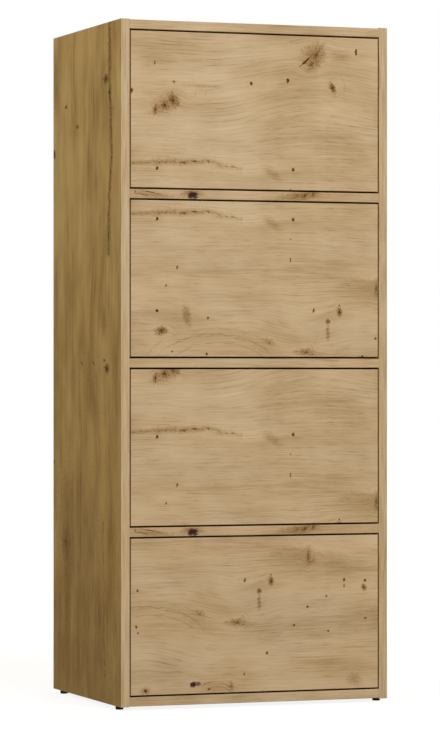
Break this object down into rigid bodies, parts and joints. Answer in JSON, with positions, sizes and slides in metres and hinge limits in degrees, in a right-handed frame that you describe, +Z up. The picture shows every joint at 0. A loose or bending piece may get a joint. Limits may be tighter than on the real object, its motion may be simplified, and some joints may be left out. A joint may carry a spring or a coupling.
{
  "type": "shoe cabinet",
  "caption": "Tall narrow shoe cabinet in knotty oak decor with flush fall flaps that open by a push and fold level on slotted stays, with a shoe shelf behind each.",
  "frame": {"origin": "on the floor under the middle of the cabinet", "axes": "+X to the right as seen from the front, +Y to the back, +Z up"},
  "size_m": [0.5, 0.39, 1.2],
  "materials": {
    "oak_decor": "knotty light oak decor on chipboard, matt",
    "hardboard": "brown hardboard",
    "beech": "plain beech",
    "steel": "bright zinc plated",
    "zinc": "die-cast zinc",
    "black_plastic": "moulded",
    "grey_plastic": "moulded",
    "white_nylon": "moulded"
  },
  "bodies": {
    "carcass": {"left_side_panel": "oak_decor", "right_side_panel": "oak_decor", "top_panel": "oak_decor", "divider_1": "oak_decor", "divider_2": "oak_decor", "divider_3": "oak_decor", "bottom_panel": "oak_decor", "shoe_shelf_1": "oak_decor", "shoe_shelf_2": "oak_decor", "shoe_shelf_3": "oak_decor", "shoe_shelf_4": "oak_decor", "back_panel": "hardboard", "shelf_supports": "steel", "cam_locks": "zinc", "cam_bolts": "steel", "wood_dowels": "beech", "back_nails": "steel", "floor_glides": "black_plastic", "pivot_bushes": "white_nylon", "stay_studs": "steel", "carcass_screws": "steel", "wall_brackets": "steel", "latch_housing_1": "grey_plastic", "latch_housing_2": "grey_plastic", "latch_housing_3": "grey_plastic", "latch_housing_4": "grey_plastic"},
    "flap_1": {"flap_1_board": "oak_decor", "flap_1_hinge_pins": "steel", "flap_1_stay_brackets": "steel", "flap_1_strike_plate": "steel", "flap_1_fasteners": "steel"},
    "flap_1_left_stay": {"flap_1_left_stay_arm": "steel"},
    "flap_1_right_stay": {"flap_1_right_stay_arm": "steel"},
    "latch_plunger_1": {"latch_plunger_1": "grey_plastic"},
    "flap_2": {"flap_2_board": "oak_decor", "flap_2_hinge_pins": "steel", "flap_2_stay_brackets": "steel", "flap_2_strike_plate": "steel", "flap_2_fasteners": "steel"},
    "flap_2_left_stay": {"flap_2_left_stay_arm": "steel"},
    "flap_2_right_stay": {"flap_2_right_stay_arm": "steel"},
    "latch_plunger_2": {"latch_plunger_2": "grey_plastic"},
    "flap_3": {"flap_3_board": "oak_decor", "flap_3_hinge_pins": "steel", "flap_3_stay_brackets": "steel", "flap_3_strike_plate": "steel", "flap_3_fasteners": "steel"},
    "flap_3_left_stay": {"flap_3_left_stay_arm": "steel"},
    "flap_3_right_stay": {"flap_3_right_stay_arm": "steel"},
    "latch_plunger_3": {"latch_plunger_3": "grey_plastic"},
    "flap_4": {"flap_4_board": "oak_decor", "flap_4_hinge_pins": "steel", "flap_4_stay_brackets": "steel", "flap_4_strike_plate": "steel", "flap_4_fasteners": "steel"},
    "flap_4_left_stay": {"flap_4_left_stay_arm": "steel"},
    "flap_4_right_stay": {"flap_4_right_stay_arm": "steel"},
    "latch_plunger_4": {"latch_plunger_4": "grey_plastic"}
  },
  "joints": [
    {"name": "flap_1_fall", "type": "hinge", "parent": "carcass", "child": "flap_1", "pos_m": [0, -0.187, 0.92488], "axis": [1, 0, 0], "range_deg": [0, 90]},
    {"name": "flap_1_left_stay_turn", "type": "hinge", "parent": "flap_1", "child": "flap_1_left_stay", "pos_m": [-0.2302, -0.169, 1.01816], "axis": [1, 0, 0], "range_deg": [-45, 0]},
    {"name": "flap_1_right_stay_turn", "type": "hinge", "parent": "flap_1", "child": "flap_1_right_stay", "pos_m": [0.2302, -0.169, 1.01816], "axis": [1, 0, 0], "range_deg": [-45, 0]},
    {"name": "latch_plunger_1_slide", "type": "slide", "parent": "carcass", "child": "latch_plunger_1", "axis": [0, -1, 0], "range_m": [0, 0.01]},
    {"name": "flap_2_fall", "type": "hinge", "parent": "carcass", "child": "flap_2", "pos_m": [0, -0.187, 0.63088], "axis": [1, 0, 0], "range_deg": [0, 90]},
    {"name": "flap_2_left_stay_turn", "type": "hinge", "parent": "flap_2", "child": "flap_2_left_stay", "pos_m": [-0.2302, -0.169, 0.72416], "axis": [1, 0, 0], "range_deg": [-45, 0]},
    {"name": "flap_2_right_stay_turn", "type": "hinge", "parent": "flap_2", "child": "flap_2_right_stay", "pos_m": [0.2302, -0.169, 0.72416], "axis": [1, 0, 0], "range_deg": [-45, 0]},
    {"name": "latch_plunger_2_slide", "type": "slide", "parent": "carcass", "child": "latch_plunger_2", "axis": [0, -1, 0], "range_m": [0, 0.01]},
    {"name": "flap_3_fall", "type": "hinge", "parent": "carcass", "child": "flap_3", "pos_m": [0, -0.187, 0.33688], "axis": [1, 0, 0], "range_deg": [0, 90]},
    {"name": "flap_3_left_stay_turn", "type": "hinge", "parent": "flap_3", "child": "flap_3_left_stay", "pos_m": [-0.2302, -0.169, 0.43016], "axis": [1, 0, 0], "range_deg": [-45, 0]},
    {"name": "flap_3_right_stay_turn", "type": "hinge", "parent": "flap_3", "child": "flap_3_right_stay", "pos_m": [0.2302, -0.169, 0.43016], "axis": [1, 0, 0], "range_deg": [-45, 0]},
    {"name": "latch_plunger_3_slide", "type": "slide", "parent": "carcass", "child": "latch_plunger_3", "axis": [0, -1, 0], "range_m": [0, 0.01]},
    {"name": "flap_4_fall", "type": "hinge", "parent": "carcass", "child": "flap_4", "pos_m": [0, -0.187, 0.04288], "axis": [1, 0, 0], "range_deg": [0, 90]},
    {"name": "flap_4_left_stay_turn", "type": "hinge", "parent": "flap_4", "child": "flap_4_left_stay", "pos_m": [-0.2302, -0.169, 0.13616], "axis": [1, 0, 0], "range_deg": [-45, 0]},
    {"name": "flap_4_right_stay_turn", "type": "hinge", "parent": "flap_4", "child": "flap_4_right_stay", "pos_m": [0.2302, -0.169, 0.13616], "axis": [1, 0, 0], "range_deg": [-45, 0]},
    {"name": "latch_plunger_4_slide", "type": "slide", "parent": "carcass", "child": "latch_plunger_4", "axis": [0, -1, 0], "range_m": [0, 0.01]}
  ],
  "couplings": [
    {"joint": "flap_1_left_stay_turn", "follows": "flap_1_fall", "ratio": -0.5},
    {"joint": "flap_1_right_stay_turn", "follows": "flap_1_fall", "ratio": -0.5},
    {"joint": "latch_plunger_1_slide", "follows": "flap_1_fall", "m_per_rad": 0.0063662},
    {"joint": "flap_2_left_stay_turn", "follows": "flap_2_fall", "ratio": -0.5},
    {"joint": "flap_2_right_stay_turn", "follows": "flap_2_fall", "ratio": -0.5},
    {"joint": "latch_plunger_2_slide", "follows": "flap_2_fall", "m_per_rad": 0.0063662},
    {"joint": "flap_3_left_stay_turn", "follows": "flap_3_fall", "ratio": -0.5},
    {"joint": "flap_3_right_stay_turn", "follows": "flap_3_fall", "ratio": -0.5},
    {"joint": "latch_plunger_3_slide", "follows": "flap_3_fall", "m_per_rad": 0.0063662},
    {"joint": "flap_4_left_stay_turn", "follows": "flap_4_fall", "ratio": -0.5},
    {"joint": "flap_4_right_stay_turn", "follows": "flap_4_fall", "ratio": -0.5},
    {"joint": "latch_plunger_4_slide", "follows": "flap_4_fall", "m_per_rad": 0.0063662}
  ]
}
